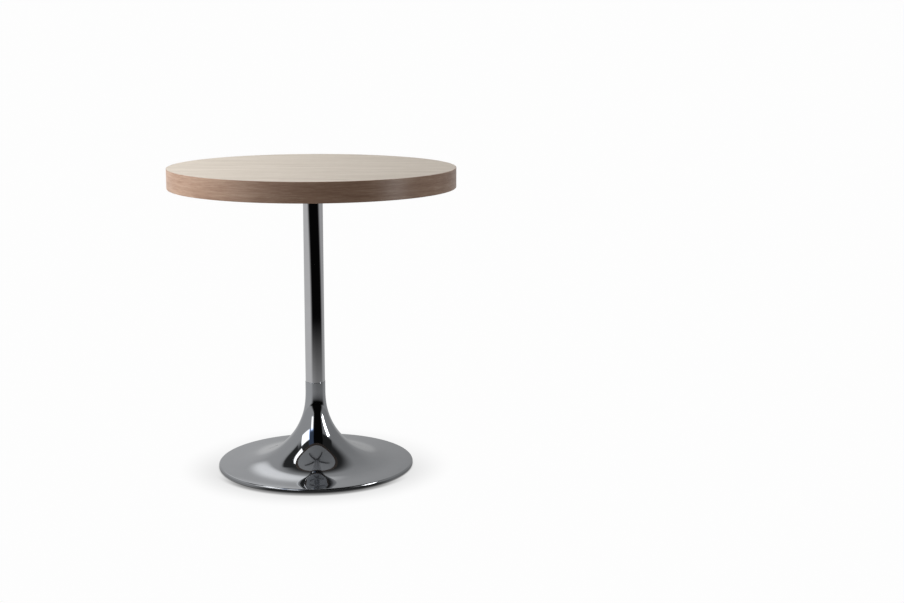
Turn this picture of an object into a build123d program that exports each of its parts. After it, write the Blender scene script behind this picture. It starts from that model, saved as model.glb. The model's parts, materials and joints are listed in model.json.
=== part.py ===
"""A round bistro table: laminated top, steel spider, chromed column and trumpet base on levelling glides.

Millimetres, with +Z up and the origin on the floor, under the middle of the column.
"""

from build123d import *

import math
import os

os.makedirs("parts", exist_ok=True)

# Overall sizes
TABLE_HEIGHT = 750.0
TOP_DIAMETER = 700.0
TOP_THICKNESS = 48.0
BASE_DIAMETER = 485.0
TUBE_DIAMETER = 48.3
TUBE_WALL = 2.0
SEAM_HEIGHT = 215.0

# Clearance of a piece that is pushed into another
SLIP = 0.1

# Laminated top
VENEER = 0.5
BAND = 1.2
BAND_EASING = 0.6
UPPER_BOARD = 22.0
TOP_RADIUS = TOP_DIAMETER / 2
BOARD_RADIUS = TOP_RADIUS - BAND
MARGIN_INNER = 306.0
UNDERSIDE = TABLE_HEIGHT - TOP_THICKNESS
BOARD_JOINT = TABLE_HEIGHT - VENEER - UPPER_BOARD
NUT_POCKET_RADIUS = 22.0
NUT_POCKET_TOP = UNDERSIDE + 18.0

# Spider under the top: a hub round the head of the column, and channel arms
HUB_RADIUS = 31.0
HUB_PLATE = 5.0
HUB_COLLAR = 22.0
HUB_SPIGOT = 20.0
HUB_EDGE = 1.0
SPIGOT_BORE = 15.0
TUBE_TOP = UNDERSIDE - HUB_PLATE
ARM_COUNT = 4
ARM_ANGLE = 45.0
ARM_LENGTH = 215.0
ARM_HALF_WIDTH = 15.0
ARM_TIP_HALF_WIDTH = 11.5
ARM_SHEET = 3.0
ARM_DEPTH = 22.0
ARM_TIP_DEPTH = 8.0
ARM_TIP_ROUNDING = 8.0

# M6 screws and inserts that hold the spider to the top
SCREW_RADII = (75.0, 197.0)
M6 = 3.0
M6_HOLE = 3.3
M6_PITCH = 1.0
M6_LENGTH = 16.0
M6_HEAD_RADIUS = 6.0
M6_HEAD_HEIGHT = 3.6
M6_HEAD_FLAT_RADIUS = 3.6
M6_HEAD_SHOULDER_RADIUS = 5.4
M6_HEAD_SHOULDER = 1.44
M6_KEY = 4.0
INSERT_RADIUS = 4.7
INSERT_LENGTH = 14.0
INSERT_PITCH = 2.0
INSERT_HOLE = 17.0

# Column, and the bush that joins it to the base
TUBE_RADIUS = TUBE_DIAMETER / 2
TUBE_BORE = TUBE_RADIUS - TUBE_WALL
TUBE_CHAMFER = 0.4
NECK_BORE = 20.0
BUSH_ABOVE_SEAM = 26.0
BUSH_BELOW_SEAM = 24.0
BUSH_CHAMFER = 1.0

# Trumpet base: its outer outline as radius and height, from the neck to the rim
RIM_RADIUS = BASE_DIAMETER / 2
RIM_TOP = 10.8
RIM_UNDERSIDE = 2.5
RIM_WALL = 6.0
RIM_ROUNDING = 3.8
RIM_LOWER_ROUNDING = 0.8
RIM_SLOPE = -0.07
NECK_RADIUS = 24.75
FLARE = (
    (NECK_RADIUS, 192.0),
    (29.0, 145.0),
    (39.0, 114.0),
    (56.0, 84.0),
    (75.0, 62.0),
    (95.0, 45.0),
    (125.0, 28.0),
    (150.0, 19.0),
    (180.0, 14.0),
    (RIM_RADIUS, RIM_TOP),
)
CAST_WALL = 5.0
CAVITY_TOP = 178.0
LEDGE_HEIGHT = 10.5
LEDGE_INNER = 150.0
LEDGE_OUTER = 172.0
RIM_CEILING = 6.5
NECK_ROUNDING = 0.4

# Ballast inside the base
BALLAST_RADIUS = 170.0
BALLAST_UNDERSIDE = 3.5
BALLAST_HUB_RADIUS = 58.0
BALLAST_HUB_TOP = 48.0
BALLAST_SHELF_RADIUS = 105.0
BALLAST_SHELF_TOP = 21.0
BALLAST_SLOPE_END = 144.0
BALLAST_EDGE = 1.5
NUT_RECESS_RADIUS = 22.0
NUT_RECESS_TOP = 24.0

# M8 screws that hold the ballast to the bosses of the base
BOSS_COUNT = 4
BOSS_CIRCLE = 90.0
BOSS_RADIUS = 9.0
BOSS_HOLE_TOP = 33.0
M8 = 4.0
M8_PITCH = 1.25
M8_HOLE = 4.5
M8_HEAD_RADIUS = 6.5
M8_HEAD_HEIGHT = 8.0
M8_HEAD_EDGE = 0.4
M8_HEAD_POCKET = 7.5
M8_KEY = 6.0
BALLAST_HEAD_SEAT = 12.5
BALLAST_SCREW_TOP = 31.0

# M12 tie rod from under the ballast to the top of the spider, with its nuts and washers
M12 = 6.0
M12_PITCH = 1.75
M12_HOLE = 6.6
M12_FLATS = 19.0
M12_NUT = 10.0
ROD_BOTTOM = 5.5
ROD_TOP = UNDERSIDE + 15.5
ROD_THREAD = 42.0
WASHER_RADIUS = 18.0
WASHER = 3.0
SPRING_WASHER_RADIUS = 10.5
SPRING_WASHER = 2.5
SPRING_WASHER_CUT = 2.0

# Levelling glides: a flanged screw that turns inside a pad
GLIDE_COUNT = 4
GLIDE_CIRCLE = 206.0
GLIDE_SEAT = 5.6
GLIDE_SEAT_RADIUS = 13.5
GLIDE_HOLE_TOP = 10.7
GLIDE_STEM = 3.92
GLIDE_STEM_TOP = 10.5
PAD_RADIUS = 13.0
PAD_HEIGHT = 5.3
PAD_EDGE = 1.0
PAD_LIP_RADIUS = 7.0
FLANGE_RADIUS = 8.0
FLANGE_BOTTOM = 2.3
FLANGE_TOP = 4.1
FLANGE_PLAY = 0.15
GLIDE_KEY = 4.0
GLIDE_KEY_HOLE = 3.2
GLIDE_KEY_DEPTH = 3.5

# Depth of a thread's groove as a share of its pitch, and depth of a key's socket as a share of its size
THREAD_DEPTH = 0.4
KEY_DEPTH = 0.6


def save(builder, name):
    """Labels a finished piece and writes it to parts/."""
    builder.part.label = name
    export_step(builder.part, f"parts/{name}.step")


def around(count, radius, first_angle=45.0):
    """The places of count features, evenly spaced on a circle."""
    angles = [math.radians(first_angle + 360 / count * step) for step in range(count)]
    return [(radius * math.cos(angle), radius * math.sin(angle)) for angle in angles]


def upright(x=0.0, y=0.0):
    """The vertical plane through (x, y), whose own axes are +X and +Z."""
    return Plane(origin=(x, y, 0), x_dir=(1, 0, 0), z_dir=(0, -1, 0))


def corner_radius(flats):
    """Radius of the circle round a hexagon of that size across its flats."""
    return flats / 2 / math.cos(math.pi / 6)


def thread(radius, pitch, low, high):
    """A thread's zigzag outline, as radius and height, from low up to high."""
    turns = int((high - low) / pitch)
    root = radius - THREAD_DEPTH * pitch
    points = [(radius, low)]
    for turn in range(turns):
        points.append((root, low + (turn + 0.5) * pitch))
        points.append((radius, low + (turn + 1) * pitch))
    return points


def inset(points, distance):
    """The outline's inner points moved towards the inside, square to the line through their neighbours."""
    moved = []
    for before, point, after in zip(points, points[1:], points[2:]):
        run = after[0] - before[0]
        fall = before[1] - after[1]
        length = math.hypot(run, fall)
        moved.append((point[0] - distance * fall / length, point[1] - distance * run / length))
    return moved


def turn(points, x=0.0, y=0.0, mode=Mode.ADD):
    """Turns a closed outline, as radius and height, round the upright line through (x, y)."""
    with BuildSketch(upright(x, y)) as profile:
        with BuildLine():
            Polyline(*points, close=True)
        make_face()
    revolve(profile.sketch, axis=Axis((x, y, 0), (0, 0, 1)), mode=mode)


def hex_socket(flats, height, depth, places):
    """Cuts a key's socket upwards from the height, at each of the places."""
    with BuildSketch(Plane.XY.offset(height)) as sockets:
        with Locations(*places):
            RegularPolygon(corner_radius(flats), 6)
    extrude(sockets.sketch, amount=depth, mode=Mode.SUBTRACT)


def round_holes(radius, low, high, places):
    """Cuts a round hole from low up to high, at each of the places."""
    with BuildSketch(Plane.XY.offset(low)) as holes:
        with Locations(*places):
            Circle(radius)
    extrude(holes.sketch, amount=high - low, mode=Mode.SUBTRACT)


CENTRE = [(0, 0)]
spider_screw_places = [place for radius in SCREW_RADII for place in around(ARM_COUNT, radius, ARM_ANGLE)]
boss_places = around(BOSS_COUNT, BOSS_CIRCLE, 0.0)
glide_places = around(GLIDE_COUNT, GLIDE_CIRCLE)


# ---- Laminated top

with BuildPart() as face_veneer:
    with BuildSketch(Plane.XY.offset(TABLE_HEIGHT - VENEER)):
        Circle(BOARD_RADIUS)
    extrude(amount=VENEER)
save(face_veneer, "face_veneer")

with BuildPart() as upper_board:
    with BuildSketch(Plane.XY.offset(BOARD_JOINT)):
        Circle(BOARD_RADIUS)
    extrude(amount=UPPER_BOARD)
save(upper_board, "upper_board")

with BuildPart() as lower_board:
    with BuildSketch(Plane.XY.offset(UNDERSIDE + VENEER)):
        Circle(BOARD_RADIUS)
    extrude(amount=BOARD_JOINT - UNDERSIDE - VENEER)
    round_holes(NUT_POCKET_RADIUS, UNDERSIDE, NUT_POCKET_TOP, CENTRE)
    round_holes(INSERT_RADIUS + SLIP, UNDERSIDE, UNDERSIDE + INSERT_HOLE, spider_screw_places)
save(lower_board, "lower_board")

with BuildPart() as backing_laminate:
    with BuildSketch(Plane.XY.offset(UNDERSIDE)):
        Circle(MARGIN_INNER)
    extrude(amount=VENEER)
    round_holes(NUT_POCKET_RADIUS, UNDERSIDE, UNDERSIDE + VENEER, CENTRE)
    round_holes(INSERT_RADIUS + SLIP, UNDERSIDE, UNDERSIDE + VENEER, spider_screw_places)
save(backing_laminate, "backing_laminate")

with BuildPart() as underside_margin:
    with BuildSketch(Plane.XY.offset(UNDERSIDE)):
        Circle(BOARD_RADIUS)
        Circle(MARGIN_INNER, mode=Mode.SUBTRACT)
    extrude(amount=VENEER)
save(underside_margin, "underside_margin")

with BuildPart() as edge_band:
    with BuildSketch(Plane.XY.offset(UNDERSIDE)):
        Circle(TOP_RADIUS)
        Circle(BOARD_RADIUS, mode=Mode.SUBTRACT)
    extrude(amount=TOP_THICKNESS)
    fillet(edge_band.edges().filter_by(GeomType.CIRCLE).group_by(SortBy.RADIUS)[-1], BAND_EASING)
save(edge_band, "edge_band")

with BuildPart() as threaded_inserts:
    insert_bore = M6 + SLIP / 2
    insert_top = UNDERSIDE + INSERT_LENGTH
    for place in spider_screw_places:
        turn(
            [
                (insert_bore, UNDERSIDE),
                *thread(INSERT_RADIUS, INSERT_PITCH, UNDERSIDE, insert_top),
                (insert_bore, insert_top),
            ],
            *place,
        )
save(threaded_inserts, "threaded_inserts")


# ---- Spider

with BuildPart() as spider_hub:
    with BuildSketch(Plane.XY.offset(TUBE_TOP)):
        Circle(HUB_RADIUS)
    extrude(amount=HUB_PLATE)
    with BuildSketch(Plane.XY.offset(TUBE_TOP)):
        Circle(HUB_RADIUS)
        Circle(TUBE_RADIUS + SLIP, mode=Mode.SUBTRACT)
    extrude(amount=-HUB_COLLAR)
    with BuildSketch(Plane.XY.offset(TUBE_TOP)):
        Circle(TUBE_BORE - SLIP)
        Circle(SPIGOT_BORE, mode=Mode.SUBTRACT)
    extrude(amount=-HUB_SPIGOT)
    round_holes(M12_HOLE, TUBE_TOP, UNDERSIDE, CENTRE)
    chamfer(spider_hub.faces().sort_by(Axis.Z)[0].edges().sort_by(SortBy.RADIUS)[-1], HUB_EDGE)
save(spider_hub, "spider_hub")

for arm_number in range(ARM_COUNT):
    arm_angle = math.radians(ARM_ANGLE + 360 / ARM_COUNT * arm_number)
    along = (math.cos(arm_angle), math.sin(arm_angle), 0)
    across = (math.sin(arm_angle), -math.cos(arm_angle), 0)
    with BuildPart() as spider_arm:
        with BuildSketch(Plane(origin=(0, 0, UNDERSIDE), x_dir=along, z_dir=(0, 0, 1))) as arm_plan:
            with BuildLine():
                Polyline(
                    (0, -ARM_HALF_WIDTH),
                    (ARM_LENGTH, -ARM_TIP_HALF_WIDTH),
                    (ARM_LENGTH, ARM_TIP_HALF_WIDTH),
                    (0, ARM_HALF_WIDTH),
                    close=True,
                )
            make_face()
            fillet(arm_plan.vertices().sort_by(Axis.X)[-2:], ARM_TIP_ROUNDING)
        extrude(amount=-ARM_DEPTH)
        with BuildSketch(Plane(origin=(0, 0, UNDERSIDE), x_dir=along, z_dir=across)):
            with BuildLine():
                Polyline(
                    (0, 0),
                    (ARM_LENGTH, 0),
                    (ARM_LENGTH, -ARM_TIP_DEPTH),
                    (HUB_RADIUS, -ARM_DEPTH),
                    (0, -ARM_DEPTH),
                    close=True,
                )
            make_face()
        extrude(amount=ARM_HALF_WIDTH, both=True, mode=Mode.INTERSECT)
        with BuildSketch(Plane(origin=(0, 0, UNDERSIDE - ARM_SHEET), x_dir=along, z_dir=(0, 0, 1))):
            add(arm_plan.sketch_local)
            offset(amount=-ARM_SHEET)
        extrude(amount=-ARM_DEPTH, mode=Mode.SUBTRACT)
        round_holes(HUB_RADIUS + SLIP, UNDERSIDE - ARM_DEPTH, UNDERSIDE, CENTRE)
        round_holes(M6_HOLE, UNDERSIDE - ARM_SHEET, UNDERSIDE, spider_screw_places)
    save(spider_arm, f"spider_arm_{arm_number + 1}")

with BuildPart() as spider_screws:
    screw_seat = UNDERSIDE - ARM_SHEET
    screw_head = screw_seat - M6_HEAD_HEIGHT
    for place in spider_screw_places:
        turn(
            [
                (0, screw_head),
                (M6_HEAD_FLAT_RADIUS, screw_head),
                (M6_HEAD_SHOULDER_RADIUS, screw_head + M6_HEAD_SHOULDER),
                (M6_HEAD_RADIUS, screw_seat),
                *thread(M6, M6_PITCH, screw_seat, screw_seat + M6_LENGTH),
                (0, screw_seat + M6_LENGTH),
            ],
            *place,
        )
    hex_socket(M6_KEY, screw_head, M6_KEY * KEY_DEPTH, spider_screw_places)
save(spider_screws, "spider_screws")


# ---- Column

with BuildPart() as column_tube:
    with BuildSketch(Plane.XY.offset(SEAM_HEIGHT)):
        Circle(TUBE_RADIUS)
        Circle(TUBE_BORE, mode=Mode.SUBTRACT)
    extrude(amount=TUBE_TOP - SEAM_HEIGHT)
    chamfer(column_tube.edges().filter_by(GeomType.CIRCLE).group_by(SortBy.RADIUS)[-1], TUBE_CHAMFER)
save(column_tube, "column_tube")

with BuildPart() as neck_bush:
    with BuildSketch(Plane.XY.offset(SEAM_HEIGHT - BUSH_BELOW_SEAM)):
        Circle(NECK_BORE)
    extrude(amount=BUSH_BELOW_SEAM)
    with BuildSketch(Plane.XY.offset(SEAM_HEIGHT)):
        Circle(TUBE_BORE - SLIP)
    extrude(amount=BUSH_ABOVE_SEAM)
    chamfer(neck_bush.edges().group_by(Axis.Z)[0], BUSH_CHAMFER)
    chamfer(neck_bush.edges().group_by(Axis.Z)[-1], BUSH_CHAMFER)
    round_holes(M12_HOLE, SEAM_HEIGHT - BUSH_BELOW_SEAM, SEAM_HEIGHT + BUSH_ABOVE_SEAM, CENTRE)
save(neck_bush, "neck_bush")


# ---- Trumpet base

with BuildPart() as base_cavity:
    inner_flare = [point for point in inset(FLARE, CAST_WALL) if point[0] < LEDGE_INNER]
    with BuildSketch(upright()):
        with BuildLine():
            Spline((NECK_BORE, CAVITY_TOP), *inner_flare)
            Polyline(
                inner_flare[-1],
                (inner_flare[-1][0], LEDGE_HEIGHT),
                (LEDGE_OUTER, LEDGE_HEIGHT),
                (LEDGE_OUTER, RIM_CEILING),
                (RIM_RADIUS - RIM_WALL, RIM_CEILING),
                (RIM_RADIUS - RIM_WALL, RIM_UNDERSIDE),
                (0, RIM_UNDERSIDE),
                (0, SEAM_HEIGHT),
                (NECK_BORE, SEAM_HEIGHT),
                (NECK_BORE, CAVITY_TOP),
            )
        make_face()
    revolve(axis=Axis.Z)
    round_holes(BOSS_RADIUS, BALLAST_SHELF_TOP, CAVITY_TOP, boss_places)
    round_holes(GLIDE_SEAT_RADIUS, GLIDE_SEAT, RIM_CEILING, glide_places)

with BuildPart() as trumpet_base:
    with BuildSketch(upright()):
        with BuildLine():
            Spline(*FLARE, tangents=((0, -1), (1, RIM_SLOPE)))
            Polyline(
                (RIM_RADIUS, RIM_TOP),
                (RIM_RADIUS, RIM_UNDERSIDE),
                (0, RIM_UNDERSIDE),
                (0, SEAM_HEIGHT),
                (NECK_RADIUS, SEAM_HEIGHT),
                FLARE[0],
            )
        make_face()
    revolve(axis=Axis.Z)
    widest_edges = trumpet_base.edges().filter_by(GeomType.CIRCLE).group_by(SortBy.RADIUS)[-1]
    fillet(widest_edges.sort_by(Axis.Z)[-1], RIM_ROUNDING)
    fillet(trumpet_base.faces().sort_by(Axis.Z)[0].edges(), RIM_LOWER_ROUNDING)
    fillet(trumpet_base.faces().sort_by(Axis.Z)[-1].edges(), NECK_ROUNDING)
    add(base_cavity.part, mode=Mode.SUBTRACT)
    round_holes(M8, BALLAST_SHELF_TOP, BOSS_HOLE_TOP, boss_places)
    round_holes(M8, GLIDE_SEAT, GLIDE_HOLE_TOP, glide_places)
save(trumpet_base, "trumpet_base")

with BuildPart() as ballast:
    turn(
        [
            (0, BALLAST_UNDERSIDE),
            (BALLAST_RADIUS - BALLAST_EDGE, BALLAST_UNDERSIDE),
            (BALLAST_RADIUS, BALLAST_UNDERSIDE + BALLAST_EDGE),
            (BALLAST_RADIUS, LEDGE_HEIGHT),
            (BALLAST_SLOPE_END, LEDGE_HEIGHT),
            (BALLAST_SHELF_RADIUS, BALLAST_SHELF_TOP),
            (BALLAST_HUB_RADIUS + BALLAST_EDGE, BALLAST_SHELF_TOP),
            (BALLAST_HUB_RADIUS - BALLAST_EDGE, BALLAST_HUB_TOP),
            (0, BALLAST_HUB_TOP),
        ]
    )
    round_holes(M12_HOLE, BALLAST_UNDERSIDE, BALLAST_HUB_TOP, CENTRE)
    round_holes(NUT_RECESS_RADIUS, BALLAST_UNDERSIDE, NUT_RECESS_TOP, CENTRE)
    round_holes(M8_HOLE, BALLAST_UNDERSIDE, BALLAST_SHELF_TOP, boss_places)
    round_holes(M8_HEAD_POCKET, BALLAST_UNDERSIDE, BALLAST_HEAD_SEAT, boss_places)
save(ballast, "ballast")

with BuildPart() as ballast_screws:
    cap_bottom = BALLAST_HEAD_SEAT - M8_HEAD_HEIGHT
    for place in boss_places:
        turn(
            [
                (0, cap_bottom),
                (M8_HEAD_RADIUS - M8_HEAD_EDGE, cap_bottom),
                (M8_HEAD_RADIUS, cap_bottom + M8_HEAD_EDGE),
                (M8_HEAD_RADIUS, BALLAST_HEAD_SEAT),
                *thread(M8 - SLIP, M8_PITCH, BALLAST_HEAD_SEAT, BALLAST_SCREW_TOP),
                (0, BALLAST_SCREW_TOP),
            ],
            *place,
        )
    hex_socket(M8_KEY, cap_bottom, M8_KEY * KEY_DEPTH, boss_places)
save(ballast_screws, "ballast_screws")


# ---- Tie rod, with a washer, a lock washer and a nut at each end

with BuildPart() as tie_rod:
    turn(
        [
            (0, ROD_BOTTOM),
            *thread(M12, M12_PITCH, ROD_BOTTOM, ROD_BOTTOM + ROD_THREAD),
            *thread(M12, M12_PITCH, ROD_TOP - ROD_THREAD, ROD_TOP),
            (0, ROD_TOP),
        ]
    )
save(tie_rod, "tie_rod")

bottom_nut_bottom = NUT_RECESS_TOP - WASHER - SPRING_WASHER - M12_NUT
stacks = (
    ("top", UNDERSIDE, UNDERSIDE + WASHER, UNDERSIDE + WASHER + SPRING_WASHER),
    ("bottom", NUT_RECESS_TOP - WASHER, bottom_nut_bottom + M12_NUT, bottom_nut_bottom),
)
for end, washer_bottom, spring_bottom, nut_bottom in stacks:
    with BuildPart() as washer:
        with BuildSketch(Plane.XY.offset(washer_bottom)):
            Circle(WASHER_RADIUS)
            Circle(M12_HOLE, mode=Mode.SUBTRACT)
        extrude(amount=WASHER)
    save(washer, f"{end}_washer")

    with BuildPart() as lock_washer:
        with BuildSketch(Plane.XY.offset(spring_bottom)):
            Circle(SPRING_WASHER_RADIUS)
            Circle(M12 + SLIP, mode=Mode.SUBTRACT)
            with Locations((SPRING_WASHER_RADIUS, 0)):
                Rectangle(SPRING_WASHER_RADIUS, SPRING_WASHER_CUT, mode=Mode.SUBTRACT)
        extrude(amount=SPRING_WASHER)
    save(lock_washer, f"{end}_lock_washer")

    with BuildPart() as nut:
        with BuildSketch(Plane.XY.offset(nut_bottom)):
            RegularPolygon(corner_radius(M12_FLATS), 6)
            Circle(M12 + SLIP / 2, mode=Mode.SUBTRACT)
        extrude(amount=M12_NUT)
        nut_corner = corner_radius(M12_FLATS)
        nut_crown = nut_corner - M12_FLATS / 2
        turn(
            [
                (0, nut_bottom),
                (nut_corner - nut_crown, nut_bottom),
                (nut_corner, nut_bottom + nut_crown / 2),
                (nut_corner, nut_bottom + M12_NUT - nut_crown / 2),
                (nut_corner - nut_crown, nut_bottom + M12_NUT),
                (0, nut_bottom + M12_NUT),
            ],
            mode=Mode.INTERSECT,
        )
    save(nut, f"{end}_nut")


# ---- Levelling glides

for glide_number, place in enumerate(glide_places, start=1):
    with BuildPart() as glide_pad:
        turn(
            [
                (GLIDE_KEY_HOLE, 0),
                (PAD_RADIUS - PAD_EDGE, 0),
                (PAD_RADIUS, PAD_EDGE),
                (PAD_RADIUS, PAD_HEIGHT),
                (PAD_LIP_RADIUS, PAD_HEIGHT),
                (PAD_LIP_RADIUS, FLANGE_TOP + FLANGE_PLAY),
                (FLANGE_RADIUS + FLANGE_PLAY, FLANGE_TOP + FLANGE_PLAY),
                (FLANGE_RADIUS + FLANGE_PLAY, FLANGE_BOTTOM - FLANGE_PLAY),
                (GLIDE_KEY_HOLE, FLANGE_BOTTOM - FLANGE_PLAY),
            ],
            *place,
        )
    save(glide_pad, f"glide_pad_{glide_number}")

    with BuildPart() as glide_screw:
        turn(
            [
                (0, FLANGE_BOTTOM),
                (FLANGE_RADIUS, FLANGE_BOTTOM),
                (FLANGE_RADIUS, FLANGE_TOP),
                *thread(GLIDE_STEM, M8_PITCH, FLANGE_TOP, GLIDE_STEM_TOP),
                (0, GLIDE_STEM_TOP),
            ],
            *place,
        )
        hex_socket(GLIDE_KEY, FLANGE_BOTTOM, GLIDE_KEY_DEPTH, [place])
    save(glide_screw, f"glide_screw_{glide_number}")
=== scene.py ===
"""The looks of a round bistro table: oak-veneered top, chromed column and a polished trumpet base."""

import json
import math

import bmesh
import bpy
from mathutils import Matrix, Vector


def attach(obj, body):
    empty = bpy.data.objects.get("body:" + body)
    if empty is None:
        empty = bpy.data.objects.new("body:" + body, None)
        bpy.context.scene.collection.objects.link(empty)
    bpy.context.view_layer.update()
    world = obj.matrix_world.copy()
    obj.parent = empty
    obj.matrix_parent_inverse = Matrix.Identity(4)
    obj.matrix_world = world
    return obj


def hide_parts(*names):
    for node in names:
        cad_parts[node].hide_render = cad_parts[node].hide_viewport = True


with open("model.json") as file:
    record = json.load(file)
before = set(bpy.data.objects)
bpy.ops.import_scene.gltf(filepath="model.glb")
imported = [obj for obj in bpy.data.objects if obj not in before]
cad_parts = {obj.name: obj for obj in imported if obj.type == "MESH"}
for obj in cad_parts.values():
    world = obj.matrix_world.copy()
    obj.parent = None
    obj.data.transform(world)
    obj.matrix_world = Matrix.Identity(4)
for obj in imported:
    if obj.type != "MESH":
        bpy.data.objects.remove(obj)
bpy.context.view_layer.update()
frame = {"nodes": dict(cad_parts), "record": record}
scene = bpy.context.scene
scene.view_settings.view_transform = "Standard"

# ---- Camera

CAMERA_PLACE = Vector((0.318, -3.570, 1.095))
CAMERA_DOWN = 0.1876
CAMERA_RIGHT = 0.0063
CAMERA_ROLL = 0.0037
CAMERA_LENS = 58.52


def make_camera():
    """A camera at standing height in front of the table, looking a little down."""
    ahead = Vector((
        math.sin(CAMERA_RIGHT) * math.cos(CAMERA_DOWN),
        math.cos(CAMERA_RIGHT) * math.cos(CAMERA_DOWN),
        -math.sin(CAMERA_DOWN),
    ))
    level = Vector((math.cos(CAMERA_RIGHT), -math.sin(CAMERA_RIGHT), 0))
    upward = level.cross(ahead)
    right = level * math.cos(CAMERA_ROLL) + upward * math.sin(CAMERA_ROLL)
    up = upward * math.cos(CAMERA_ROLL) - level * math.sin(CAMERA_ROLL)
    data = bpy.data.cameras.new("camera")
    data.lens = CAMERA_LENS
    data.sensor_width = 36
    data.clip_start = 0.1
    data.clip_end = 60
    camera = bpy.data.objects.new("camera", data)
    camera.matrix_world = Matrix.Translation(CAMERA_PLACE) @ Matrix((right, up, -ahead)).transposed().to_4x4()
    scene.collection.objects.link(camera)
    scene.camera = camera


# ---- Node helpers

def add_node(tree, kind, **settings):
    """A new node with its settings, whose inputs are set by name or number in a dictionary called inputs."""
    node = tree.nodes.new(kind)
    inputs = settings.pop("inputs", {})
    for name, value in settings.items():
        setattr(node, name, value)
    for name, value in inputs.items():
        connect(tree, value, node.inputs[name])
    return node


def connect(tree, value, socket):
    """Links an output to the socket, or sets the socket's own value."""
    if isinstance(value, bpy.types.NodeSocket):
        tree.links.new(value, socket)
    else:
        socket.default_value = value


def math_node(tree, operation, first, second=0.0, third=0.0):
    node = add_node(tree, "ShaderNodeMath", operation=operation, inputs={0: first, 1: second, 2: third})
    return node.outputs[0]


def ease(tree, value, start, end, low=0.0, high=1.0):
    """Goes smoothly from low to high while the value goes from start to end."""
    node = add_node(
        tree, "ShaderNodeMapRange", interpolation_type="SMOOTHSTEP",
        inputs={"Value": value, "From Min": start, "From Max": end, "To Min": low, "To Max": high},
    )
    return node.outputs["Result"]


# ---- Studio

def add(tree, first, second):
    return math_node(tree, "ADD", first, second)


def product(tree, *values):
    """All the values multiplied together."""
    result = values[0]
    for value in values[1:]:
        result = math_node(tree, "MULTIPLY", result, value)
    return result


def window(tree, value, low, high, blur):
    """One where the value lies between low and high, and zero outside, with soft edges."""
    rise = ease(tree, value, math_node(tree, "SUBTRACT", low, blur), add(tree, low, blur))
    fall = ease(tree, value, add(tree, high, blur), math_node(tree, "SUBTRACT", high, blur))
    return product(tree, rise, fall)


def blend(tree, share, first, second):
    """Goes from first to second while the share goes from zero to one."""
    return math_node(tree, "MULTIPLY_ADD", share, math_node(tree, "SUBTRACT", second, first), first)


def compass(tree, vector):
    """A vector's parts, and its azimuth in degrees: 0 towards the front, growing to the right."""
    split = add_node(tree, "ShaderNodeSeparateXYZ", inputs={0: vector})
    forward = product(tree, split.outputs["Y"], -1.0)
    azimuth = math_node(tree, "DEGREES", math_node(tree, "ARCTAN2", split.outputs["X"], forward))
    return split.outputs, azimuth


# Light of the walls at the left and at the right, beside the table and behind it
WALL_SIDE = (0.43, 0.28)
WALL_BACK = (0.50, 0.35)


def wall_level(tree, sideways, backward):
    """The pale walls round the table: brighter to the left than to the right, and brighter behind."""
    side = ease(tree, sideways, -0.5, 0.6, *WALL_SIDE)
    back = ease(tree, sideways, -0.18, 0.06, *WALL_BACK)
    return blend(tree, ease(tree, backward, 0.82, 0.97), side, back)


# Softboxes and dark screens: azimuth from and to, elevation from and to, light, and blur, in degrees
STUDIO_PATCHES = (
    (-152, -97, 46, 57, 0.03, 1.6),
    (-46, -12, 42, 70, 0.10, 3),
    (50, 97, 45, 70, 0.02, 2),
    (-142, -84, 58.4, 69, 2.4, 1.0),
    (-83, -40, 36.5, 55, 2.2, 1.2),
    (-30.5, -17, 18, 40, 2.2, 1.8),
)
GLOW_AZIMUTH = math.radians(-166)
GLOW_ELEVATION = math.radians(31)
GLOW_REACH = math.radians(12)
GLOW_CORE = math.radians(2)
GLOW_LIGHT = 0.62
HORIZON = 0.08
CEILING = 0.08
FRONT_SCREEN = 0.003
COOL_TINT = (0.55, 0.74, 1.15, 1)
BACKDROP = 0.985


def glow(tree, direction):
    """A round soft light on the wall behind the table."""
    middle = (
        math.sin(GLOW_AZIMUTH) * math.cos(GLOW_ELEVATION),
        -math.cos(GLOW_AZIMUTH) * math.cos(GLOW_ELEVATION),
        math.sin(GLOW_ELEVATION),
    )
    towards = add_node(
        tree, "ShaderNodeVectorMath", operation="DOT_PRODUCT", inputs={0: direction, 1: middle})
    return ease(
        tree, towards.outputs["Value"], math.cos(GLOW_REACH), math.cos(GLOW_CORE), 0.0, GLOW_LIGHT)


def front_screen(tree, azimuth, elevation):
    """One inside the dark screen in front, which is wider at its foot and ends near the ceiling."""
    left = ease(tree, elevation, -8, 15, -49, -13)
    right = ease(tree, elevation, -2, 15, 74, 50)
    blur = ease(tree, elevation, 0, 14, 12, 3)
    return product(tree, window(tree, azimuth, left, right, blur), ease(tree, elevation, 69, 65))


def studio_level(tree, direction):
    """The light from each direction above the floor, and the direction's azimuth and elevation."""
    parts, azimuth = compass(tree, direction)
    elevation = math_node(tree, "DEGREES", math_node(tree, "ARCSINE", parts["Z"]))
    level = add(tree, wall_level(tree, parts["X"], parts["Y"]), glow(tree, direction))
    horizon = product(tree, ease(tree, parts["Y"], 0.55, 0.9), ease(tree, elevation, 11, 4), HORIZON)
    level = add(tree, level, horizon)
    level = product(tree, level, ease(tree, elevation, 40, 57, 1.0, CEILING))
    for az_from, az_to, el_from, el_to, light, blur in STUDIO_PATCHES:
        inside = product(tree, window(tree, azimuth, az_from, az_to, blur),
                         window(tree, elevation, el_from, el_to, blur))
        level = blend(tree, inside, level, light)
    level = blend(tree, front_screen(tree, azimuth, elevation), level, FRONT_SCREEN)
    return level, azimuth, elevation


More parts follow.
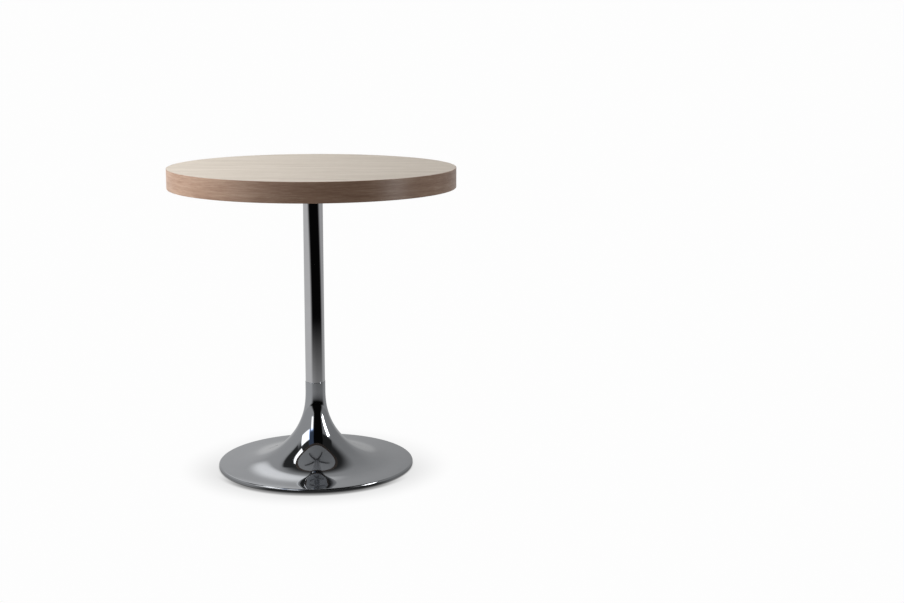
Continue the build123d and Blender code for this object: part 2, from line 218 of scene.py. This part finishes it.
def make_world():
    """The softboxes and walls that the metal mirrors. The camera sees a plain white backdrop instead."""
    world = bpy.data.worlds.new("studio")
    world.use_nodes = True
    scene.world = world
    tree = world.node_tree
    tree.nodes.clear()
    direction = add_node(tree, "ShaderNodeTexCoord").outputs["Generated"]
    level, azimuth, elevation = studio_level(tree, direction)
    cool = product(tree, window(tree, azimuth, -44, -8, 4), window(tree, elevation, 38, 68, 4))
    colour = add_node(tree, "ShaderNodeMix", data_type="RGBA",
                      inputs={0: cool, 6: (1.0, 1.0, 1.0, 1), 7: COOL_TINT})
    walls = add_node(tree, "ShaderNodeBackground", inputs={"Color": colour.outputs[2], "Strength": level})
    backdrop = add_node(tree, "ShaderNodeBackground", inputs={"Color": (1, 1, 1, 1), "Strength": BACKDROP})
    seen = add_node(tree, "ShaderNodeLightPath").outputs["Is Camera Ray"]
    mixed = add_node(tree, "ShaderNodeMixShader",
                     inputs={0: seen, 1: walls.outputs[0], 2: backdrop.outputs[0]})
    add_node(tree, "ShaderNodeOutputWorld", inputs={"Surface": mixed.outputs[0]})


def soft_lamp(name, middle, aim, width, height, light, roll=0.0, mirrored=True):
    """A rectangular softbox that faces the aim; one that isn't mirrored only lights."""
    away = Vector(middle) - Vector(aim)
    data = bpy.data.lights.new(name, "AREA")
    data.shape = "RECTANGLE"
    data.size = width
    data.size_y = height
    data.energy = light * math.pi * width * height
    lamp = bpy.data.objects.new(name, data)
    facing = away.to_track_quat("Z", "Y").to_matrix().to_4x4()
    lamp.matrix_world = Matrix.Translation(middle) @ facing @ Matrix.Rotation(math.radians(roll), 4, "Z")
    lamp.visible_camera = False
    lamp.visible_glossy = mirrored
    scene.collection.objects.link(lamp)


def around_table(azimuth, distance, height):
    """A place by its azimuth in degrees, its distance from the column and its height."""
    angle = math.radians(azimuth)
    return (math.sin(angle) * distance, -math.cos(angle) * distance, height)


def make_lamps():
    """Four softboxes, of which only the one on the right shows in the metal."""
    soft_lamp(
        "key_left", around_table(azimuth=-61.5, distance=1.1, height=1.24), aim=(0, 0, 0.9),
        width=0.88, height=0.74, light=5.0, mirrored=False)
    soft_lamp(
        "strip_right", around_table(azimuth=74, distance=3.0, height=1.85), aim=(0, 0, 1.85),
        width=0.80, height=2.2, light=6.5, roll=-32)
    soft_lamp(
        "fill_left", around_table(azimuth=-100, distance=2.6, height=1.0), aim=(0, 0, 0.72),
        width=0.9, height=1.4, light=10.0, mirrored=False)
    soft_lamp(
        "overhead", (-0.7, 0.45, 2.1), aim=(0, 0, 0.75),
        width=1.6, height=1.2, light=2.75, mirrored=False)


# ---- Floor

# Distances in metres
FLOOR_REACH = 25.0
RIM_RADIUS = 0.2425
RIM_SHADE_WIDTH = 0.14
FRONT_SHADE_NEAR = 1.5
FRONT_SHADE_FAR = 6.0
CONTACT_REACH = 0.05

# Light of the mirrored floor with its painted shade, and how much of its light the seen floor loses or keeps
# under painted shadows
FLOOR_OVER_WALL = 0.07
RIM_SHADE = 0.62
FRONT_SHADE_ON_FLOOR = 0.002
SHADOW_ON_FLOOR = 0.03
SHADOW_BEHIND = 0.24
SHADOW_IN_FRONT = 0.09
FOOT_SHADOW = 0.65
CONTACT_SHADE = 0.25
CONTACT_SAMPLES = 16


def mirrored_floor(tree, away, parts, azimuth):
    """The floor as the metal mirrors it: a little brighter than the walls, with painted shade round the rim
    and painted dark stretches in front.
    """
    level = add(tree, wall_level(tree, parts["X"], parts["Y"]), FLOOR_OVER_WALL)
    # Painted shade on the floor, darker towards the rim.
    level = product(tree, level, ease(tree, away, RIM_RADIUS, RIM_RADIUS + RIM_SHADE_WIDTH, RIM_SHADE, 1.0))
    # Painted shade: a dark stretch of floor in front, away from the table.
    front_shade_from = ease(tree, away, FRONT_SHADE_NEAR, FRONT_SHADE_FAR, -32, -56)
    front_shade_to = ease(tree, away, FRONT_SHADE_NEAR, FRONT_SHADE_FAR, 98, 74)
    front_shade = product(tree, window(tree, azimuth, front_shade_from, front_shade_to, 16), ease(tree, away, -0.1, 1.95))
    level = blend(tree, front_shade, level, FRONT_SHADE_ON_FLOOR)
    # A painted shadow on the floor at the front of the rim.
    shadow = product(
        tree, window(tree, azimuth, -32, 50, 9),
        ease(tree, away, RIM_RADIUS + 0.16, RIM_RADIUS + 0.05),
        ease(tree, away, RIM_RADIUS - 0.02, RIM_RADIUS),
    )
    return blend(tree, shadow, level, SHADOW_ON_FLOOR)


def seen_floor(tree, away, parts):
    """The floor as the camera sees it: as pale as the backdrop, with painted soft shadows at the base."""
    # Painted shadow round the base, fading away from the rim.
    depth = ease(tree, parts["Y"], -0.5, 0.6, SHADOW_BEHIND, SHADOW_IN_FRONT)
    near = ease(tree, away, RIM_RADIUS + 0.108, RIM_RADIUS - 0.03)
    # A painted shadow on the floor close to the front of the rim.
    foot = product(
        tree, ease(tree, parts["Y"], -0.35, -0.85),
        ease(tree, away, RIM_RADIUS + 0.022, RIM_RADIUS + 0.004),
    )
    # Painted contact shade, taken from ambient occlusion.
    contact = add_node(
        tree, "ShaderNodeAmbientOcclusion", samples=CONTACT_SAMPLES,
        inputs={"Distance": CONTACT_REACH},
    ).outputs["AO"]
    return product(
        tree, BACKDROP,
        math_node(tree, "SUBTRACT", 1.0, product(tree, depth, near)),
        math_node(tree, "SUBTRACT", 1.0, product(tree, foot, FOOT_SHADOW)),
        ease(tree, contact, 0.05, 0.75, CONTACT_SHADE, 1.0),
    )


def floor_material():
    """Glows plainly instead of catching light, and is clear from below so that the underside can be seen."""
    material = bpy.data.materials.new("floor_paper")
    material.use_nodes = True
    tree = material.node_tree
    tree.nodes.clear()
    place = add_node(tree, "ShaderNodeTexCoord").outputs["Object"]
    away = add_node(tree, "ShaderNodeVectorMath", operation="LENGTH", inputs={0: place}).outputs["Value"]
    outward = add_node(tree, "ShaderNodeVectorMath", operation="NORMALIZE", inputs={0: place}).outputs[0]
    parts, azimuth = compass(tree, outward)
    mirrored = add_node(
        tree, "ShaderNodeEmission", inputs={"Strength": mirrored_floor(tree, away, parts, azimuth)})
    seen = add_node(tree, "ShaderNodeEmission", inputs={"Strength": seen_floor(tree, away, parts)})
    camera_ray = add_node(tree, "ShaderNodeLightPath").outputs["Is Camera Ray"]
    mixed = add_node(tree, "ShaderNodeMixShader",
                     inputs={0: camera_ray, 1: mirrored.outputs[0], 2: seen.outputs[0]})
    open_below = add_node(tree, "ShaderNodeBsdfTransparent")
    underneath = add_node(tree, "ShaderNodeNewGeometry").outputs["Backfacing"]
    one_sided = add_node(tree, "ShaderNodeMixShader",
                         inputs={0: underneath, 1: mixed.outputs[0], 2: open_below.outputs[0]})
    add_node(tree, "ShaderNodeOutputMaterial", inputs={"Surface": one_sided.outputs[0]})
    return material


def make_floor():
    """A pale floor that reaches past the picture on all sides."""
    mesh = bpy.data.meshes.new("floor")
    corners = [(x * FLOOR_REACH, y * FLOOR_REACH, 0) for x, y in ((-1, -1), (1, -1), (1, 1), (-1, 1))]
    mesh.from_pydata(corners, [], [(0, 1, 2, 3)])
    mesh.materials.append(floor_material())
    floor = bpy.data.objects.new("floor", mesh)
    scene.collection.objects.link(floor)


# ---- Materials

def new_material(name):
    material = bpy.data.materials.new(name)
    material.use_nodes = True
    tree = material.node_tree
    tree.nodes.clear()
    shader = add_node(tree, "ShaderNodeBsdfPrincipled")
    add_node(tree, "ShaderNodeOutputMaterial", inputs={"Surface": shader.outputs[0]})
    return material, tree, shader


def noise(tree, scale, detail=3.0, roughness=0.5, stretch=(1, 1, 1)):
    """Noise in the object's own metres; stretch is the number of features per metre along each axis."""
    place = add_node(tree, "ShaderNodeTexCoord").outputs["Object"]
    mapped = add_node(tree, "ShaderNodeMapping", inputs={"Vector": place, "Scale": stretch})
    texture = add_node(tree, "ShaderNodeTexNoise", inputs={
        "Vector": mapped.outputs[0], "Scale": scale, "Detail": detail, "Roughness": roughness})
    return texture.outputs["Fac"]


def ramp(tree, value, stops):
    """A colour ramp with stops of (position, colour)."""
    node = add_node(tree, "ShaderNodeValToRGB", inputs={0: value})
    elements = node.color_ramp.elements
    while len(elements) < len(stops):
        elements.new(0.5)
    for element, (position, colour) in zip(elements, stops):
        element.position = position
        element.color = (*colour, 1)
    return node.outputs["Color"]


def bump(tree, shader, height, strength, distance):
    node = add_node(
        tree, "ShaderNodeBump", inputs={"Height": height, "Strength": strength, "Distance": distance})
    tree.links.new(node.outputs[0], shader.inputs["Normal"])


# The top's tones are paler and greyer than the edge's: a painted sheen standing for the top's shine at a
# grazing view.
SHEEN_PAINTED_OAK = ((0.46, 0.395, 0.32), (0.565, 0.495, 0.412), (0.65, 0.58, 0.495))
DARK_OAK = ((0.24, 0.142, 0.096), (0.315, 0.200, 0.139), (0.39, 0.270, 0.195))
# A far darker oak for the ring round the edge of the underside.
DARKEST_OAK = ((0.085, 0.062, 0.050), (0.108, 0.078, 0.062), (0.135, 0.100, 0.080))


def brush_round(tree, shader, amount):
    """Spreads the gloss up and down a band that is turned round the Z axis."""
    round_z = add_node(tree, "ShaderNodeTangent", direction_type="RADIAL", axis="Z")
    tree.links.new(round_z.outputs[0], shader.inputs["Tangent"])
    shader.inputs["Anisotropic"].default_value = amount
    shader.inputs["Anisotropic Rotation"].default_value = 0.25


def oak(name, stretch, roughness, tones, relief=0.0004, brushed=0.0):
    """Straight-grained oak under a satin lacquer. The grain runs where the stretch is smallest."""
    material, tree, shader = new_material(name)
    figure = noise(tree, 1.0, 3.0, 0.55, tuple(0.22 * s for s in stretch))
    grain = noise(tree, 1.0, 5.0, 0.65, stretch)
    pores = noise(tree, 1.0, 2.0, 0.5, tuple(3.6 * s for s in stretch))
    mixed = math_node(tree, "MULTIPLY_ADD", grain, 0.6, math_node(tree, "MULTIPLY", figure, 0.4))
    colour = ramp(tree, mixed, tuple(zip((0.36, 0.50, 0.64), tones)))
    pore_shade = ramp(tree, pores, ((0.30, (0.72, 0.68, 0.64)), (0.42, (1, 1, 1))))
    shaded = add_node(tree, "ShaderNodeMix", data_type="RGBA", blend_type="MULTIPLY",
                      inputs={0: 0.8, 6: colour, 7: pore_shade})
    tree.links.new(shaded.outputs[2], shader.inputs["Base Color"])
    satin = ease(tree, grain, 0.3, 0.7, roughness + 0.06, roughness - 0.04)
    tree.links.new(satin, shader.inputs["Roughness"])
    bump(tree, shader, math_node(tree, "ADD", grain, pores), 0.25, relief)
    if brushed:
        brush_round(tree, shader, brushed)
    return material


def metal(name, colour, roughness, wear_scale, bump_height=0.0, wave_scale=6.0):
    """Bare or plated metal, with faint wear in its gloss and a slight waviness."""
    material, tree, shader = new_material(name)
    wear = noise(tree, wear_scale, 4.0, 0.6)
    tone = ramp(tree, wear, ((0.3, tuple(0.96 * c for c in colour)), (0.7, colour)))
    tree.links.new(tone, shader.inputs["Base Color"])
    shader.inputs["Metallic"].default_value = 1.0
    tree.links.new(ease(tree, wear, 0.3, 0.75, roughness * 0.8, roughness * 1.35), shader.inputs["Roughness"])
    if bump_height:
        bump(tree, shader, noise(tree, wave_scale, 2.0, 0.4), 1.0, bump_height)
    return material


def plain(name, dark, light, roughness, scale, bump_height):
    """A coating, laminate or moulding: a fine mottle of two near tones and a fine grain in its surface."""
    material, tree, shader = new_material(name)
    mottle = noise(tree, scale, 4.0, 0.6)
    tree.links.new(ramp(tree, mottle, ((0.35, dark), (0.65, light))), shader.inputs["Base Color"])
    gloss = ease(tree, mottle, 0.3, 0.7, roughness - 0.05, roughness + 0.05)
    tree.links.new(gloss, shader.inputs["Roughness"])
    bump(tree, shader, mottle, 0.5, bump_height)
    return material


def make_materials():
    """One material for each of the record's slots."""
    return {
        # The top's oak carries a painted sheen in its paler tones.
        "oak_face": oak("oak_face", (9, 230, 230), 0.34, SHEEN_PAINTED_OAK, relief=0.00015),
        "oak_edge": oak("oak_edge", (26, 26, 460), 0.38, DARK_OAK, brushed=0.85),
        "fibreboard": plain("fibreboard", (0.42, 0.31, 0.20), (0.56, 0.43, 0.29), 0.85, 900, 0.0003),
        # The ring round the underside's edge gets an oak far darker than the edge's.
        "dark_lipping": oak("dark_lipping", (20, 20, 60), 0.42, DARKEST_OAK),
        "backing": plain("backing", (0.60, 0.61, 0.62), (0.68, 0.69, 0.70), 0.55, 1400, 0.00005),
        "grey_steel": plain("grey_steel", (0.190, 0.192, 0.198), (0.245, 0.247, 0.254), 0.5, 1500, 0.0001),
        "chromed_tube": metal("chromed_tube", (0.80, 0.80, 0.82), 0.035, 40),
        "polished_casting": metal("polished_casting", (0.54, 0.555, 0.58), 0.045, 30, 0.00002, 9),
        "cast_ballast": plain("cast_ballast", (0.05, 0.05, 0.05), (0.11, 0.105, 0.10), 0.7, 500, 0.0004),
        "bare_steel": metal("bare_steel", (0.55, 0.54, 0.53), 0.28, 300),
        "zinc_plate": metal("zinc_plate", (0.70, 0.69, 0.64), 0.30, 260),
        "glide_plastic": plain(
            "glide_plastic", (0.016, 0.016, 0.017), (0.030, 0.030, 0.032), 0.5, 1200, 0.00008),
    }


def dress_nodes(materials):
    """Gives each CAD node the material of its slot in the record."""
    for part in frame["record"]["subparts"]:
        mesh = frame["nodes"][part["node"]].data
        mesh.materials.clear()
        mesh.materials.append(materials[part["material_slot"]])


# ---- Trumpet base, turned finely enough for clean reflections

# Sizes of the turned pieces are in millimetres
MM = 0.001
FLARE = (
    (24.75, 192.0), (29.0, 145.0), (39.0, 114.0), (56.0, 84.0), (75.0, 62.0), (95.0, 45.0),
    (125.0, 28.0), (150.0, 19.0), (180.0, 14.0), (242.5, 10.8),
)
FLARE_ENDS = ((0.0, -1.0), (1.0, -0.07))
FLARE_STEPS = 15
CAVITY_ENDS = ((0.0, -1.0), (1.0, -0.35))
CAVITY_STEPS = 4
SEAM_HEIGHT = 215.0
NECK_ROUNDING = 0.4
RIM_ROUNDING = 3.8
RIM_GAP = 0.5
RIM_LOWER_ROUNDING = 0.8
RIM_UNDERSIDE = 2.5
RIM_WALL = 6.0
RIM_CEILING = 6.5
LEDGE_HEIGHT = 10.5
LEDGE_INNER = 150.0
LEDGE_OUTER = 172.0
CAST_WALL = 5.0
NECK_BORE = 20.0
CAVITY_TOP = 178.0
TURN_STEPS = 256
SHARP_ANGLE = math.radians(32)

# A loop this far from a rounding keeps the straight wall beside it straight in the reflections
EDGE_LOOP = 0.3


def smooth_line(points, ends, per_span):
    """Points along the cubic spline through the given points, with the given directions at its ends."""
    lengths = [math.dist(p, q) for p, q in zip(points, points[1:])]
    slopes = []
    for axis in (0, 1):
        count = len(points)
        lower, middle, upper, right = [0.0] * count, [1.0] * count, [0.0] * count, [0.0] * count
        right[0], right[-1] = ends[0][axis], ends[1][axis]
        for i in range(1, count - 1):
            before, after = lengths[i - 1], lengths[i]
            lower[i], middle[i], upper[i] = after, 2 * (before + after), before
            right[i] = 3 * (after * (points[i][axis] - points[i - 1][axis]) / before
                            + before * (points[i + 1][axis] - points[i][axis]) / after)
        for i in range(1, count):
            share = lower[i] / middle[i - 1]
            middle[i] -= share * upper[i - 1]
            right[i] -= share * right[i - 1]
        found = [0.0] * count
        found[-1] = right[-1] / middle[-1]
        for i in range(count - 2, -1, -1):
            found[i] = (right[i] - upper[i] * found[i + 1]) / middle[i]
        slopes.append(found)
    line = []
    for i, length in enumerate(lengths):
        for step in range(per_span):
            t = step / per_span
            line.append(tuple(
                (2 * t ** 3 - 3 * t ** 2 + 1) * points[i][axis]
                + (t ** 3 - 2 * t ** 2 + t) * length * slopes[axis][i]
                + (3 * t ** 2 - 2 * t ** 3) * points[i + 1][axis]
                + (t ** 3 - t ** 2) * length * slopes[axis][i + 1]
                for axis in (0, 1)))
    return line + [points[-1]]


def arc(centre, radius, start, end, steps):
    """Points on an arc, with angles in degrees from the outward level direction."""
    angles = [math.radians(start + (end - start) * step / steps) for step in range(steps + 1)]
    return [(centre[0] + radius * math.cos(a), centre[1] + radius * math.sin(a)) for a in angles]


def inset(points, distance):
    """The inner points moved into the wall, square to the line through their neighbours."""
    moved = []
    for before, point, after in zip(points, points[1:], points[2:]):
        run, fall = after[0] - before[0], before[1] - after[1]
        length = math.hypot(run, fall)
        moved.append((point[0] - distance * fall / length, point[1] - distance * run / length))
    return moved


def casting_outline():
    """The closed outline of the base, as radius and height: down the outside and up through the cavity."""
    rim_radius = FLARE[-1][0]
    flare = smooth_line(FLARE, FLARE_ENDS, FLARE_STEPS)
    slope_angle = 90 + math.degrees(math.atan2(FLARE_ENDS[1][1], FLARE_ENDS[1][0]))
    fillet_x = rim_radius - RIM_ROUNDING
    touch_x = fillet_x + RIM_ROUNDING * math.cos(math.radians(slope_angle))
    top_z = FLARE[-1][1] + FLARE_ENDS[1][1] * (touch_x - rim_radius)
    fillet_z = top_z - RIM_ROUNDING * math.sin(math.radians(slope_angle))
    outside = [p for p in flare if p[0] < touch_x - RIM_GAP]
    rim = arc((fillet_x, fillet_z), RIM_ROUNDING, slope_angle, 0, 12)
    foot_middle = (rim_radius - RIM_LOWER_ROUNDING, RIM_UNDERSIDE + RIM_LOWER_ROUNDING)
    foot = arc(foot_middle, RIM_LOWER_ROUNDING, 0, -90, 5)
    inner = [p for p in inset(FLARE, CAST_WALL) if p[0] < LEDGE_INNER]
    cavity = smooth_line([(NECK_BORE, CAVITY_TOP), *inner], CAVITY_ENDS, CAVITY_STEPS)
    neck = arc((FLARE[0][0] - NECK_ROUNDING, SEAM_HEIGHT - NECK_ROUNDING), NECK_ROUNDING, 90, 0, 4)
    wall_top, wall_foot = SEAM_HEIGHT - NECK_ROUNDING - EDGE_LOOP, FLARE[0][1] + EDGE_LOOP
    return [
        *neck, (FLARE[0][0], wall_top), (FLARE[0][0], wall_foot), *outside, *rim,
        (rim_radius, rim[-1][1] - EDGE_LOOP), (rim_radius, foot[0][1] + EDGE_LOOP), *foot,
        (rim_radius - RIM_WALL, RIM_UNDERSIDE), (rim_radius - RIM_WALL, RIM_CEILING),
        (LEDGE_OUTER, RIM_CEILING), (LEDGE_OUTER, LEDGE_HEIGHT), (inner[-1][0], LEDGE_HEIGHT),
        *reversed(cavity), (NECK_BORE, SEAM_HEIGHT),
    ]


def turned_rings(outline, place, steps):
    """Corners and faces of a closed outline turned round the upright line through the place."""
    corners, faces = [], []
    count = len(outline)
    for step in range(steps):
        angle = math.tau * step / steps
        for radius, height in outline:
            corners.append((
                place[0] + radius * MM * math.cos(angle),
                place[1] + radius * MM * math.sin(angle),
                height * MM,
            ))
    for step in range(steps):
        here, there = step * count, (step + 1) % steps * count
        for i in range(count):
            after = (i + 1) % count
            faces.append((here + i, here + after, there + after, there + i))
    return corners, faces


def turned_piece(name, rings, material, body, replaced=None):
    """One piece from several turned rings, each an outline, its place and its number of steps."""
    corners, faces = [], []
    for outline, place, steps in rings:
        more_corners, more_faces = turned_rings(outline, place, steps)
        first = len(corners)
        corners += more_corners
        faces += [tuple(first + corner for corner in face) for face in more_faces]
    mesh = bpy.data.meshes.new(name)
    mesh.from_pydata(corners, [], faces)
    mesh.update()
    shaper = bmesh.new()
    shaper.from_mesh(mesh)
    bmesh.ops.recalc_face_normals(shaper, faces=shaper.faces)
    shaper.to_mesh(mesh)
    shaper.free()
    mesh.shade_smooth()
    mesh.set_sharp_from_angle(angle=SHARP_ANGLE)
    mesh.materials.append(material)
    piece = bpy.data.objects.new(name, mesh)
    scene.collection.objects.link(piece)
    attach(piece, body)
    if replaced:
        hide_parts(replaced)
    return piece


# Circles of the bosses and seats are in metres, and what stands on them in millimetres.
# A boss meets the wall above it only on its outer side.
BOSS_CIRCLE = 0.090
BOSS_BORE = 4.0
BOSS_RADIUS = 9.0
BOSS_FOOT = 21.0
BOSS_TOP = 42.0
BOSS_BORE_TOP = 40.0
BOSS_STEPS = 32
GLIDE_CIRCLE = 0.206
SEAT_BORE = 4.0
SEAT_RADIUS = 13.5
SEAT_FOOT = 5.6
SEAT_TOP = 7.5
SEAT_STEPS = 40


def make_casting(material):
    """The trumpet base with its ballast bosses and its seats for the glides."""
    rings = [(casting_outline(), (0, 0), TURN_STEPS)]
    boss = (
        (BOSS_BORE, BOSS_FOOT), (BOSS_RADIUS, BOSS_FOOT),
        (BOSS_RADIUS, BOSS_TOP), (BOSS_BORE, BOSS_BORE_TOP),
    )
    seat = (
        (SEAT_BORE, SEAT_FOOT), (SEAT_RADIUS, SEAT_FOOT),
        (SEAT_RADIUS, SEAT_TOP), (SEAT_BORE, SEAT_TOP),
    )
    for quarter in range(4):
        angle = math.tau * quarter / 4
        rings.append((boss, (BOSS_CIRCLE * math.cos(angle), BOSS_CIRCLE * math.sin(angle)), BOSS_STEPS))
        angle += math.tau / 8
        rings.append((seat, (GLIDE_CIRCLE * math.cos(angle), GLIDE_CIRCLE * math.sin(angle)), SEAT_STEPS))
    turned_piece("turned_base", rings, material, "table", "trumpet_base")


TUBE_RADIUS = 24.15
TUBE_BORE = 22.15
TUBE_TOP = 697.0
TUBE_CHAMFER = 0.4
TUBE_STEPS = 160


def make_tube(material):
    """The chromed column, with a softened edge at each end."""
    foot = arc((TUBE_RADIUS - TUBE_CHAMFER, SEAM_HEIGHT + TUBE_CHAMFER), TUBE_CHAMFER, -90, 0, 4)
    head = arc((TUBE_RADIUS - TUBE_CHAMFER, TUBE_TOP - TUBE_CHAMFER), TUBE_CHAMFER, 0, 90, 4)
    outline = [
        (TUBE_BORE, SEAM_HEIGHT), *foot, (TUBE_RADIUS, foot[-1][1] + EDGE_LOOP),
        (TUBE_RADIUS, head[0][1] - EDGE_LOOP), *head, (TUBE_BORE, TUBE_TOP),
    ]
    rings = [(outline, (0, 0), TUBE_STEPS)]
    turned_piece("turned_column", rings, material, "table", "column_tube")


make_camera()
make_world()
make_lamps()
make_floor()
materials = make_materials()
dress_nodes(materials)
make_casting(materials["polished_casting"])
make_tube(materials["chromed_tube"])
